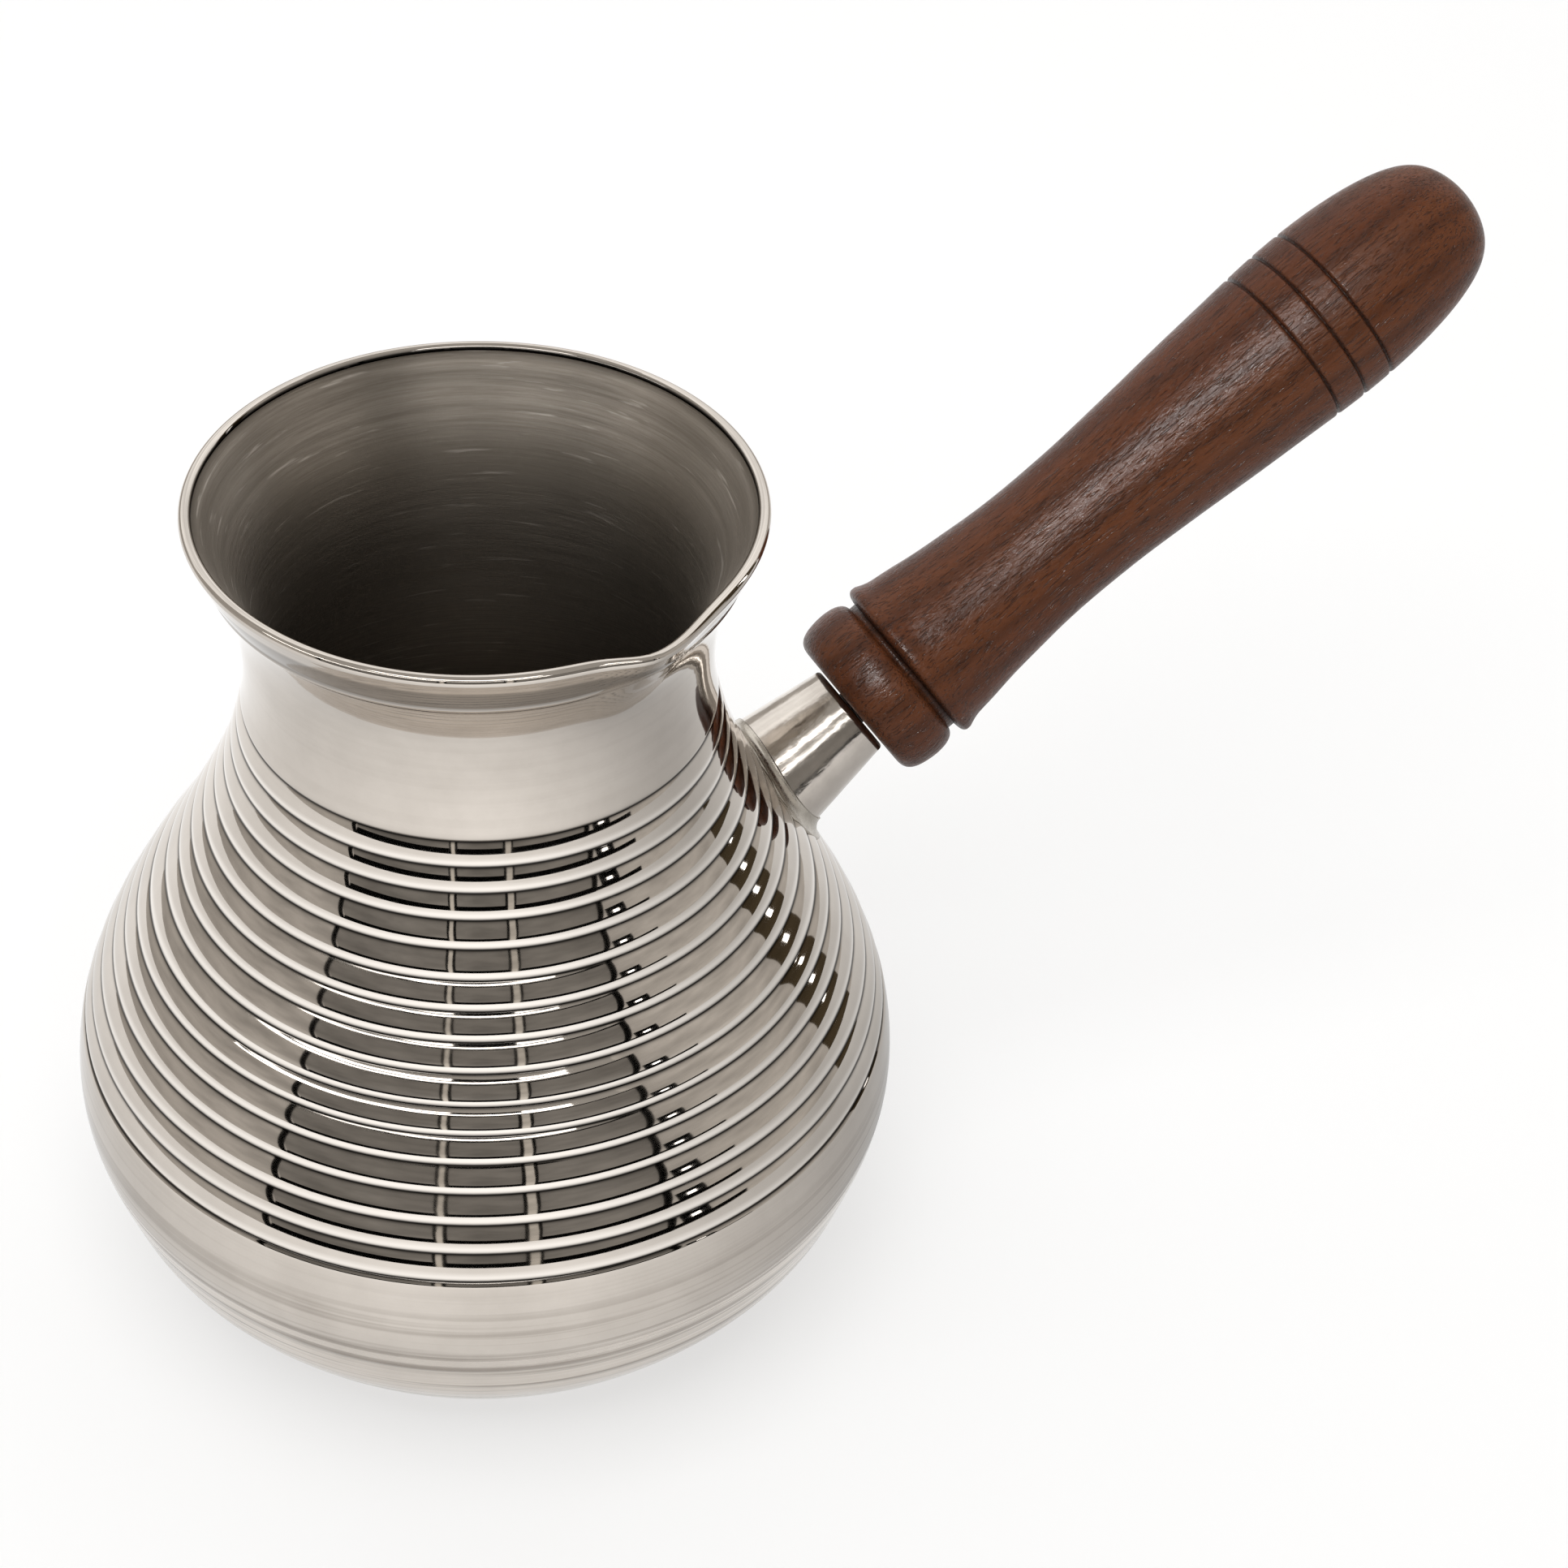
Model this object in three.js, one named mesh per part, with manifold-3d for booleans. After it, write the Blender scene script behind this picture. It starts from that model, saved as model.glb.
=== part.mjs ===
// A Turkish coffee pot (cezve): a polished, ribbed metal pot with a pinched pouring lip, and a turned
// wooden handle carried on a short tapered metal socket.
//
// Frame: millimetres, +Z up. The origin is the centre of the flat base. The handle leans up along +X.

import * as THREE from 'three';
import { mergeVertices } from 'three/addons/utils/BufferGeometryUtils.js';
import Module from 'manifold-3d';

// ---- overall sizes -------------------------------------------------------------------------------

const totalHeight = 120.0;
const rimRadius = 36.0;
const wallThickness = 1.5;
const lipThickness = 1.6;
const floorThickness = 1.8;
const floorRadius = 34.0;

// The smooth outer wall, from the base corner to the lip: [height, radius].
const wallOutline = [
  [0.0, 34.0], [0.4, 36.6], [1.4, 39.3], [3.0, 41.8], [6.8, 46.0], [10.8, 49.1], [14.8, 51.65], [18.8, 53.1],
  [22.8, 54.4], [26.8, 55.4], [30.8, 55.65], [34.8, 55.3], [38.8, 54.5], [42.8, 53.2], [46.8, 51.5],
  [50.8, 49.4], [54.8, 47.2], [58.8, 44.8], [62.8, 42.2], [66.8, 39.9], [70.8, 37.8], [74.8, 35.8],
  [78.8, 34.0], [82.8, 32.5], [86.8, 31.4], [90.8, 30.4], [94.8, 29.8], [98.8, 29.7], [102.8, 30.0],
  [106.8, 30.7], [110.8, 32.1], [113.5, 33.4], [116.0, 34.7], [118.6, 35.8],
];

// ---- ribs ----------------------------------------------------------------------------------------

const grooveHeights = [
  38.95, 42.7, 46.3, 49.9, 53.25, 56.5, 59.6, 63.1, 66.55, 70.0, 73.5, 77.1, 80.6, 84.0, 87.4, 90.8,
];
const grooveDepth = 0.48;
const ribShares = [0.14, 0.38, 0.64, 0.88];

// ---- pouring lip ---------------------------------------------------------------------------------

const spoutAngle = -79.5;
const spoutReach = 2.4;
const spoutHalfWidth = 13.0;
const spoutDrop = 17.0;

// ---- handle --------------------------------------------------------------------------------------

const handleRise = 33.0;
const handleRootHeight = 33.7;
const socketStart = 44.0;
const socketEnd = 65.2;
const socketBaseRadius = 8.75;
const socketTaper = 0.15;
const socketWall = 0.9;
const socketReference = 51.5;
const filletReach = 2.2;
const filletHeight = 2.6;
const plugLength = 5.0;
const studRadius = 2.5;
const studStart = 57.5;
const studEnd = 88.0;
const fitGap = 0.15;
const surfaceGap = 0.3;

// The turned grip, from its face at the socket to its rounded end: [distance along the axis, radius].
const gripOutline = [
  [65.5, 8.6], [66.0, 10.3], [67.0, 11.6], [68.4, 12.15], [70.2, 12.3], [72.0, 12.1], [73.2, 11.6],
  [73.9, 10.6], [74.7, 10.6], [75.3, 12.2], [75.8, 12.45], [77.0, 12.1], [80.0, 11.5], [85.0, 10.8],
  [90.0, 10.3], [95.0, 9.88], [100.0, 9.7], [105.0, 9.76], [110.0, 9.86], [115.0, 10.1],
  [120.0, 10.53], [125.0, 10.98], [130.0, 11.3], [135.0, 11.75], [139.0, 12.1],
  [141.6, 12.3], [142.0, 11.9], [142.4, 12.33], [146.1, 12.58], [146.5, 12.15], [146.9, 12.6],
  [150.6, 12.58], [151.0, 12.15], [151.4, 12.55], [156.0, 12.4], [160.0, 12.05], [163.5, 11.5],
  [167.0, 10.55], [169.6, 9.3], [171.8, 7.4], [173.2, 5.0], [173.9, 2.4], [174.1, 0.0],
];

// ---- colours -------------------------------------------------------------------------------------

const platedSteel = new THREE.MeshStandardMaterial({ color: '#d3ccc2', roughness: 0.12, metalness: 1 });
const brazeMetal = new THREE.MeshStandardMaterial({ color: '#b9b4aa', roughness: 0.3, metalness: 1 });
const fixingSteel = new THREE.MeshStandardMaterial({ color: '#a8a8a6', roughness: 0.4, metalness: 1 });
const walnut = new THREE.MeshStandardMaterial({ color: '#55372a', roughness: 0.45, metalness: 0 });

const potSegments = 48;
const handleSegments = 32;

// ---- helpers -------------------------------------------------------------------------------------

/** A straight-line reading of a [height, radius] list. */
function radiusAt(outline, height) {
  if (height <= outline[0][0]) return outline[0][1];
  for (let i = 1; i < outline.length; i += 1) {
    const [h0, r0] = outline[i - 1];
    const [h1, r1] = outline[i];
    if (height <= h1) return r0 + ((r1 - r0) * (height - h0)) / (h1 - h0);
  }
  return outline[outline.length - 1][1];
}

/** Turns a list of [radius, height] about Z into one closed surface. */
function turned(points, segments) {
  const profile = points.map(([radius, height]) => new THREE.Vector2(radius, height));
  const geometry = new THREE.LatheGeometry(profile, segments);
  geometry.rotateX(Math.PI / 2);
  return closedSurface(geometry);
}

/** Drops the seam, so that the surface is closed, and makes sure that its faces look outwards. */
function closedSurface(geometry) {
  geometry.deleteAttribute('normal');
  geometry.deleteAttribute('uv');
  const merged = mergeVertices(geometry, 1e-4);
  const position = merged.getAttribute('position');
  const index = Array.from(merged.index.array);
  const kept = [];
  let volume = 0;
  const [a, b, c] = [new THREE.Vector3(), new THREE.Vector3(), new THREE.Vector3()];
  for (let i = 0; i < index.length; i += 3) {
    const [p, q, r] = [index[i], index[i + 1], index[i + 2]];
    if (p === q || q === r || r === p) continue;
    kept.push(p, q, r);
    a.fromBufferAttribute(position, p);
    b.fromBufferAttribute(position, q);
    c.fromBufferAttribute(position, r);
    volume += a.dot(b.cross(c)) / 6;
  }
  if (volume < 0) {
    for (let i = 0; i < kept.length; i += 3) [kept[i + 1], kept[i + 2]] = [kept[i + 2], kept[i + 1]];
  }
  merged.setIndex(kept);
  merged.computeVertexNormals();
  return merged;
}

/** Leans a piece that was turned about Z onto the handle's axis. */
function ontoHandleAxis(geometry) {
  geometry.rotateY(THREE.MathUtils.degToRad(90 - handleRise));
  geometry.translate(0, 0, handleRootHeight);
  return geometry;
}

function toSolid(wasm, geometry) {
  const mesh = new wasm.Mesh({
    numProp: 3,
    vertProperties: Float32Array.from(geometry.getAttribute('position').array),
    triVerts: Uint32Array.from(geometry.index.array),
  });
  return new wasm.Manifold(mesh);
}

function fromSolid(solid) {
  const mesh = solid.getMesh();
  const geometry = new THREE.BufferGeometry();
  geometry.setAttribute('position', new THREE.BufferAttribute(Float32Array.from(mesh.vertProperties), 3));
  geometry.setIndex(Array.from(mesh.triVerts));
  geometry.computeVertexNormals();
  return geometry;
}

function piece(name, geometry, material) {
  const mesh = new THREE.Mesh(geometry, material);
  mesh.name = name;
  return mesh;
}

// ---- pot -----------------------------------------------------------------------------------------

/** The outer wall with its ribs: narrow grooves, and between each two of them a rounded rib. */
function ribbedOuterWall() {
  const lowest = grooveHeights[0];
  const highest = grooveHeights[grooveHeights.length - 1];
  const points = [];
  for (const [height, radius] of wallOutline) {
    if (height < lowest - 0.5) points.push([radius, height]);
  }
  for (let i = 0; i + 1 < grooveHeights.length; i += 1) {
    const [start, end] = [grooveHeights[i], grooveHeights[i + 1]];
    points.push([radiusAt(wallOutline, start) - grooveDepth, start]);
    for (const share of ribShares) {
      const height = start + (end - start) * share;
      const sag = grooveDepth * (2 * share - 1) ** 2;
      points.push([radiusAt(wallOutline, height) - sag, height]);
    }
  }
  points.push([radiusAt(wallOutline, highest) - grooveDepth / 2, highest]);
  for (const [height, radius] of wallOutline) {
    if (height > highest + 0.5) points.push([radius, height]);
  }
  return points;
}

/** The rounded edge of the lip, from outside to inside. */
function lipEdge() {
  const half = lipThickness / 2;
  const points = [];
  for (let i = 1; i <= 3; i += 1) {
    const turn = (Math.PI * i) / 4;
    points.push([rimRadius - half + half * Math.cos(turn), totalHeight - half + half * Math.sin(turn)]);
  }
  return points;
}

/** The smooth inside of the pot, from the lip down to the middle of the floor. */
function innerWall() {
  const inner = [[rimRadius - lipThickness, totalHeight - lipThickness / 2]];
  for (let i = wallOutline.length - 2; i > 3; i -= 1) {
    const [height, radius] = wallOutline[i];
    const [below, narrower] = wallOutline[i - 1];
    const [above, wider] = wallOutline[i + 1];
    const slope = Math.atan2(wider - narrower, above - below);
    const offset = wallThickness + grooveDepth;
    inner.push([radius - offset * Math.cos(slope), height + offset * Math.sin(slope)]);
  }
  const kept = inner.filter(([, height], i) => height > floorThickness + 1.6 || i === 0);
  kept.push([floorRadius + 3.2, floorThickness + 0.7]);
  kept.push([floorRadius, floorThickness]);
  kept.push([0, floorThickness]);
  return kept;
}

/** Pulls the lip out into a small pouring beak, which fades down the neck. */
function pinchSpout(geometry) {
  const position = geometry.getAttribute('position');
  const centre = THREE.MathUtils.degToRad(spoutAngle);
  const halfWidth = THREE.MathUtils.degToRad(spoutHalfWidth);
  for (let i = 0; i < position.count; i += 1) {
    const [x, y, z] = [position.getX(i), position.getY(i), position.getZ(i)];
    const depth = (z - (totalHeight - spoutDrop)) / spoutDrop;
    if (depth <= 0) continue;
    const around = Math.atan2(y, x) - centre;
    const across = Math.atan2(Math.sin(around), Math.cos(around)) / halfWidth;
    const reach = spoutReach * Math.exp(-across * across) * depth * depth;
    const radius = Math.hypot(x, y);
    position.setX(i, x * (1 + reach / radius));
    position.setY(i, y * (1 + reach / radius));
  }
  return geometry;
}

function potShellGeometry() {
  const points = [[0, 0], ...ribbedOuterWall(), ...lipEdge(), ...innerWall()];
  return pinchSpout(turned(points, potSegments));
}

/** The pot's outline as one filled solid, a little larger than the pot: what the socket is cut against. */
function potEnvelope(wasm, gap) {
  const points = [[0, -gap]];
  for (const [height, radius] of wallOutline) points.push([radius + gap / 0.8, height]);
  points.push([0, totalHeight]);
  return toSolid(wasm, turned(points, potSegments));
}

// ---- handle --------------------------------------------------------------------------------------

function socketRadius(distance) {
  return socketBaseRadius - socketTaper * (distance - socketReference);
}

/** The tapered tube between pot and grip, trimmed to the curve of the pot's wall. */
function handleSocket(wasm) {
  const points = [
    [socketRadius(socketStart), socketStart],
    [socketRadius(socketEnd), socketEnd],
    [socketRadius(socketEnd) - socketWall, socketEnd],
    [socketRadius(socketStart) - socketWall, socketStart],
    [socketRadius(socketStart), socketStart],
  ];
  const tube = toSolid(wasm, ontoHandleAxis(turned(points, handleSegments)));
  return fromSolid(tube.subtract(potEnvelope(wasm, surfaceGap)));
}

/** The ring of brazing metal around the foot of the socket. */
function brazeFillet(wasm) {
  const start = socketStart + 1;
  const end = socketReference + 9;
  const outer = [[socketRadius(start) + filletReach, start], [socketRadius(end) + filletReach, end]];
  const inner = [[socketRadius(end) + fitGap, end], [socketRadius(start) + fitGap, start]];
  const collar = toSolid(wasm, ontoHandleAxis(turned([...outer, ...inner, outer[0]], handleSegments)));
  const layer = potEnvelope(wasm, surfaceGap + filletHeight / 2);
  return fromSolid(collar.intersect(layer).subtract(potEnvelope(wasm, surfaceGap)));
}

/** The threaded plug that closes the socket's outer end and holds the stud. */
function socketPlug() {
  const start = socketEnd - plugLength;
  const bore = studRadius + fitGap;
  const gap = socketWall + fitGap;
  const points = [
    [bore, start],
    [socketRadius(start) - gap - 0.2, start],
    [socketRadius(socketEnd) - gap - 0.1, socketEnd - 0.1],
    [bore, socketEnd - 0.1],
    [bore, start],
  ];
  return ontoHandleAxis(turned(points, handleSegments));
}

/** The steel stud that passes from the plug into the wood. */
function handleStud() {
  const points = [
    [0, studStart],
    [studRadius - 0.4, studStart],
    [studRadius, studStart + 0.6],
    [studRadius, studEnd - 2.5],
    [0, studEnd],
  ];
  return ontoHandleAxis(turned(points, handleSegments));
}

/** The turned wooden grip, bored for the stud. */
function handleGrip() {
  const bore = studRadius + fitGap;
  const points = [[0, studEnd + 0.6], [bore, studEnd - 1.6], [bore, gripOutline[0][0]]];
  for (const [distance, radius] of gripOutline) points.push([radius, distance]);
  return ontoHandleAxis(turned(points, handleSegments));
}

// ---- the whole pot -------------------------------------------------------------------------------

const wasm = await Module();
wasm.setup();

const group = new THREE.Group();
group.name = 'coffee_pot';
group.add(
  piece('pot_body', potShellGeometry(), platedSteel),
  piece('handle_socket', handleSocket(wasm), platedSteel),
  piece('socket_braze_fillet', brazeFillet(wasm), brazeMetal),
  piece('socket_plug', socketPlug(), fixingSteel),
  piece('handle_stud', handleStud(), fixingSteel),
  piece('handle_grip', handleGrip(), walnut),
);

export default group;
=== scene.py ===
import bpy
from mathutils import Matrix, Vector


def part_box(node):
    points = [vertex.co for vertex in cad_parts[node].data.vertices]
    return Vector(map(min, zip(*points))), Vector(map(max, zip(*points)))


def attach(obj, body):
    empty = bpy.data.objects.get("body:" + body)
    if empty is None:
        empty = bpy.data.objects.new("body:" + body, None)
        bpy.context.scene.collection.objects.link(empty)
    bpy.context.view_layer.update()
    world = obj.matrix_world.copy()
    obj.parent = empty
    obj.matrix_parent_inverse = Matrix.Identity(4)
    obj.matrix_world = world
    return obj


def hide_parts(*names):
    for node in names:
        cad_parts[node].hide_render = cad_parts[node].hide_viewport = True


bl_info = {
    "name": "Turkish coffee pot",
    "version": (1, 0, 0),
    "blender": (4, 5, 0),
    "location": "3D View > Sidebar > Coffee pot",
    "description": "A ribbed, nickel-plated Turkish coffee pot with a turned walnut handle, and its studio",
    "category": "Add Mesh",
}

import math

import bpy
import numpy as np
from bpy.props import FloatProperty, FloatVectorProperty, IntProperty, PointerProperty, StringProperty
from mathutils import Matrix, Vector

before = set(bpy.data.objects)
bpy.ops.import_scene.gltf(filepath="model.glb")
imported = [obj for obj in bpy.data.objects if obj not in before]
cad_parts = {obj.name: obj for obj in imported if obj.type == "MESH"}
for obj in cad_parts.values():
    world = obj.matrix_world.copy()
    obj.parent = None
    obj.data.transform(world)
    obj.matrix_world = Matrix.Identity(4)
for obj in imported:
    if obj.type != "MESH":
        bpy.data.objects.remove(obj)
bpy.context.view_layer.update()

MM = 0.001
BODY = "root"

POT_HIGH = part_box("pot_body")[1]

# ---- outlines, in millimetres ----------------------------

# The height to the top of the lip and the radius of the belly that these outlines are drawn for.
DRAWN_HEIGHT, DRAWN_BELLY = 120.0, 55.65

# The smooth outer wall, from the base corner to the lip: height, radius.
WALL_OUTLINE = np.array([
    (0.0, 34.0), (0.4, 36.6), (1.4, 39.3), (3.0, 41.8), (6.8, 46.0), (10.8, 49.1), (14.8, 51.65),
    (18.8, 53.1), (22.8, 54.4), (26.8, 55.4), (30.8, 55.65), (34.8, 55.3), (38.8, 54.5), (42.8, 53.2),
    (46.8, 51.5), (50.8, 49.4), (54.8, 47.2), (58.8, 44.8), (62.8, 42.2), (66.8, 39.9), (70.8, 37.8),
    (74.8, 35.8), (78.8, 34.0), (82.8, 32.5), (86.8, 31.4), (90.8, 30.4), (94.8, 29.8), (98.8, 29.7),
    (102.8, 30.0), (106.8, 30.7), (110.8, 32.1), (113.5, 33.4), (116.0, 34.7), (118.6, 35.8),
])

# Where the turned grooves lie: heights. Between each two of them stands one rounded rib.
GROOVE_HEIGHTS = np.array([
    38.95, 42.7, 46.3, 49.9, 53.25, 56.5, 59.6, 63.1, 66.55, 70.0, 73.5, 77.1, 80.6, 84.0, 87.4, 90.8,
])

# The turned grip: distance along the handle's axis, radius. First the bead at the socket, then the body.
BEAD_OUTLINE = np.array([
    (65.5, 8.6), (65.55, 10.2), (65.9, 11.0), (66.9, 11.75), (68.4, 12.15), (70.2, 12.3), (71.9, 12.15),
    (73.0, 11.75), (73.6, 11.2), (73.85, 10.6),
])
GRIP_OUTLINE = np.array([
    (74.75, 10.6), (74.9, 11.5), (75.2, 12.15), (75.8, 12.45), (77.0, 12.1), (80.0, 11.5), (85.0, 10.8),
    (90.0, 10.3), (95.0, 9.88), (100.0, 9.7), (105.0, 9.72), (110.0, 9.86), (115.0, 10.15), (120.0, 10.48),
    (125.0, 10.85), (130.0, 11.2), (135.0, 11.5), (140.0, 11.82), (145.0, 12.1), (150.0, 12.18),
    (155.0, 12.0), (160.0, 11.5), (163.5, 10.9), (167.0, 9.95), (169.6, 8.8), (171.8, 7.0),
    (173.1, 4.8), (173.8, 2.4), (174.0, 0.0),
])
SCORED_RINGS = np.array([142.0, 146.5, 151.0])


# ---- settings --------------------------------------------

def length(name, description, millimetres):
    return FloatProperty(name=name, description=description, default=millimetres * MM, unit="LENGTH",
                         precision=5)


def angle(name, description, degrees):
    return FloatProperty(name=name, description=description, default=math.radians(degrees),
                         subtype="ANGLE", unit="ROTATION")


def colour(name, description, hex_code):
    return StringProperty(name=name, description=description, default=hex_code)


class PotSizes(bpy.types.PropertyGroup):
    """Sizes of the pot's shell."""

    height: FloatProperty(name="Height", description="From the base to the top of the lip",
                          default=POT_HIGH.z, unit="LENGTH")
    belly_radius: FloatProperty(name="Belly radius", description="At the widest part of the belly",
                                default=POT_HIGH.x, unit="LENGTH")
    wall: length("Wall", "Thickness of the wall under the ribs", 1.98)
    lip: length("Lip", "Thickness of the rounded lip", 1.6)
    floor: length("Floor", "Thickness of the floor", 1.8)
    rib_tilt: angle("Rib tilt", "How far a rib's upper flank leans beside a groove", 15.0)
    rib_crest: FloatProperty(name="Rib crest", description="Share of a rib's height that is below its crest",
                             default=0.37, min=0.1, max=0.9)
    groove_round: length("Groove round", "Width over which the bottom of a groove is rounded", 0.08)
    spout_turn: angle("Spout direction", "Where the pouring lip points, from +X", -79.5)
    spout_reach: length("Spout reach", "How far the pouring lip stands out of the round", 2.4)
    spout_drop: length("Spout drop", "How far down the neck the pouring lip fades out", 17.0)
    around: IntProperty(name="Steps around", description="Facets around the pot", default=200, min=24)


class HandleSizes(bpy.types.PropertyGroup):
    """Sizes of the handle, which leans up along +X."""

    rise: angle("Rise", "Angle of the handle above the horizontal", 33.0)
    root_height: length("Root height", "Where the handle's axis crosses the pot's axis", 33.7)
    socket_end: length("Socket end", "Distance of the socket's outer end along the axis", 65.2)
    socket_radius: length("Socket radius", "Radius of the socket at its reference distance", 8.75)
    socket_reference: length("Socket reference", "Distance where the socket has its named radius", 51.5)
    socket_taper: FloatProperty(name="Socket taper", description="Loss of radius per distance", default=0.15)
    socket_wall: length("Socket wall", "Thickness of the socket's sheet", 0.9)
    fillet_reach: length("Fillet reach", "How far the brazed fillet spreads on the pot", 2.0)
    fillet_height: length("Fillet height", "How far the brazed fillet climbs on the socket", 1.5)
    bore: length("Bore", "Radius of the grip's bore for the stud", 2.65)
    bore_end: length("Bore end", "Distance of the bottom of the bore", 88.6)
    ring_depth: length("Ring depth", "Depth of the three scored rings", 0.42)
    around: IntProperty(name="Steps around", description="Facets around the handle", default=128, min=24)


class Finishes(bpy.types.PropertyGroup):
    """Colours of the materials."""

    nickel: colour("Nickel", "Polished nickel plate", "#D0C8BF")
    # The bright nickel colour is a painted highlight: on the ribs' lower parts, and in the brightness of the
    # spoon scratches inside.
    nickel_highlight: colour("Nickel bright", "Buffed nickel plate on the ribs' lower halves", "#F3ECE4")
    nickel_inside: colour("Nickel inside", "Brushed nickel plate inside the pot", "#A8A096")
    solder: colour("Solder", "Dressed brazing metal", "#C4BDB2")
    steel: colour("Steel", "Machined steel of the hidden fixings", "#A9A9A6")
    walnut_dark: colour("Walnut dark", "Pores and late wood", "#1E0F0A")
    walnut_mid: colour("Walnut", "Heartwood", "#532B17")
    walnut_light: colour("Walnut light", "Early wood", "#653B23")
    tarnish: colour("Tarnish", "Where the plate has dulled", "#6E6459")
    # The groove colour is painted shade: it darkens the bottoms of the grooves, the band under the lip and
    # the lip's inner edge.
    groove: colour("Groove", "Polishing wax and tarnish in the bottoms of the grooves", "#0C0A09")


class StudioSizes(bpy.types.PropertyGroup):
    """The floor, the cards that the metal mirrors, the lamps and the camera."""

    camera_place: FloatVectorProperty(
        name="Camera", description="Where the camera stands", size=3, unit="LENGTH",
        default=(-131.07 * MM, -316.44 * MM, 360.09 * MM))
    camera_yaw: angle("Yaw", "Turn of the camera from +Y towards +X", 29.066)
    camera_pitch: angle("Pitch", "How far the camera looks down", 39.736)
    camera_roll: angle("Roll", "Turn of the camera about its line of sight", -2.874)
    lens: FloatProperty(name="Lens", description="Focal length on a 36 mm frame, in millimetres",
                        default=78.26)
    front: angle("Front", "Direction from the pot to the camera, from +X", -112.5)
    wall_distance: length("Wall distance", "How far off the studio's cards stand", 900.0)
    card_middle: length("Card middle", "Height that the cards' angles are measured from", 60.0)


# ---- curves and surfaces ---------------------------------

def gap_index(knots, at):
    """Which gap between the knots each value is in, counted from 0."""
    return np.clip(np.searchsorted(knots, at, side="right") - 1, 0, len(knots) - 2)


def natural_spline(knots, values, at):
    """A cubic through every value, with the slope and the bend continuous and no bend at the ends.

    The second derivatives solve the usual three-term equations of the natural cubic spline.
    """
    gap = np.diff(knots)
    slope = np.diff(values) / gap
    count = len(knots)
    system = np.eye(count)
    inside = np.arange(1, count - 1)
    system[inside, inside - 1] = gap[:-1]
    system[inside, inside] = 2 * (gap[:-1] + gap[1:])
    system[inside, inside + 1] = gap[1:]
    known = np.zeros(count)
    known[1:-1] = 6 * np.diff(slope)
    bend = np.linalg.solve(system, known)
    i = gap_index(knots, at)
    left = at - knots[i]
    right = knots[i + 1] - at
    curved = (bend[i] * right**3 + bend[i + 1] * left**3) / (6 * gap[i])
    start = values[i] / gap[i] - bend[i] * gap[i] / 6
    end = values[i + 1] / gap[i] - bend[i + 1] * gap[i] / 6
    return curved + start * right + end * left


def arc_length(curve):
    """Distance along a line of points."""
    steps = np.hypot(*np.diff(curve, axis=0).T)
    return np.concatenate([[0.0], np.cumsum(steps)])


def smooth_curve(points, spacing, softness):
    """A natural spline over the chord length through the points, read every spacing and then averaged.

    The average is a bell-shaped one of the given width, and the ends run on straight, so it keeps them.
    """
    chord = arc_length(points)
    at = np.linspace(0, chord[-1], max(8, int(round(chord[-1] / spacing))) + 1)
    curve = np.stack([natural_spline(chord, points[:, k], at) for k in (0, 1)], axis=1)
    reach = int(round(3 * softness / spacing))
    if reach == 0:
        return curve
    weight = np.exp(-0.5 * (np.arange(-reach, reach + 1) * spacing / softness) ** 2)
    weight /= weight.sum()
    before = 2 * curve[0] - curve[reach:0:-1]
    after = 2 * curve[-1] - curve[-2:-reach - 2:-1]
    padded = np.concatenate([before, curve, after])
    return np.stack([np.convolve(padded[:, k], weight, mode="valid") for k in (0, 1)], axis=1)


def read_curve(curve, at, values=None):
    """Points of a line, or the values that belong to its points, at the given distances along it."""
    along = arc_length(curve)
    values = curve if values is None else values
    return np.stack([np.interp(at, along, values[:, k]) for k in (0, 1)], axis=1)


def outward(curve):
    """Unit normals of a height and radius line that runs upwards: the tangent turned by a right angle."""
    tangent = np.gradient(curve, axis=0)
    tangent /= np.hypot(*tangent.T)[:, None]
    return np.stack([-tangent[:, 1], tangent[:, 0]], axis=1)


def steps(*stretches):
    """Distances from (start, end, spacing) stretches, each evenly divided, without doubles."""
    parts = [np.linspace(a, b, max(1, int(round((b - a) / s))) + 1)[:-1] for a, b, s in stretches]
    return np.concatenate(parts + [[stretches[-1][1]]])


def bell(value, width):
    """A bell curve that is 1 at 0."""
    return np.exp(-(value / width) ** 2)


def turns_around(count):
    """A column of evenly spaced angles for one full turn."""
    return np.linspace(0, 2 * math.pi, count, endpoint=False)[:, None]


def closed_surface(name, grid, close_along=False, first_pole=None, last_pole=None, slots=None):
    """Quads over a grid of points (around, along, xyz) that is closed around.

    It is closed along as well, or ends in a fan of triangles at each pole. Around, crossed with along,
    points outwards. Slots gives each step along its material slot.
    """
    around, along = grid.shape[:2]
    row = np.arange(around)[:, None]
    next_row = (row + 1) % around
    column = np.arange(along if close_along else along - 1)[None, :]
    next_column = (column + 1) % along
    corners = [row * along + column, next_row * along + column,
               next_row * along + next_column, row * along + next_column]
    faces = np.stack(np.broadcast_arrays(*corners), axis=-1).reshape(-1, 4).tolist()
    indices = np.broadcast_to(np.zeros(column.shape, int) if slots is None else slots[None, :],
                              (around, column.size)).ravel().tolist()
    points = grid.reshape(-1, 3)
    for pole, edge, backwards in ((first_pole, 0, True), (last_pole, along - 1, False)):
        if pole is None:
            continue
        ring = row[:, 0] * along + edge
        after = next_row[:, 0] * along + edge
        tip = np.full(around, len(points))
        fan = (tip, after, ring) if backwards else (ring, after, tip)
        faces += np.stack(fan, axis=1).tolist()
        indices += [0 if slots is None else int(slots[0 if backwards else -1])] * around
        points = np.vstack([points, pole])
    mesh = bpy.data.meshes.new(name)
    mesh.from_pydata(points.tolist(), [], faces)
    mesh.polygons.foreach_set("material_index", indices)
    mesh.polygons.foreach_set("use_smooth", [True] * len(faces))
    mesh.update()
    mesh.validate()
    piece = bpy.data.objects.new(name, mesh)
    bpy.context.scene.collection.objects.link(piece)
    return piece


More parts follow.
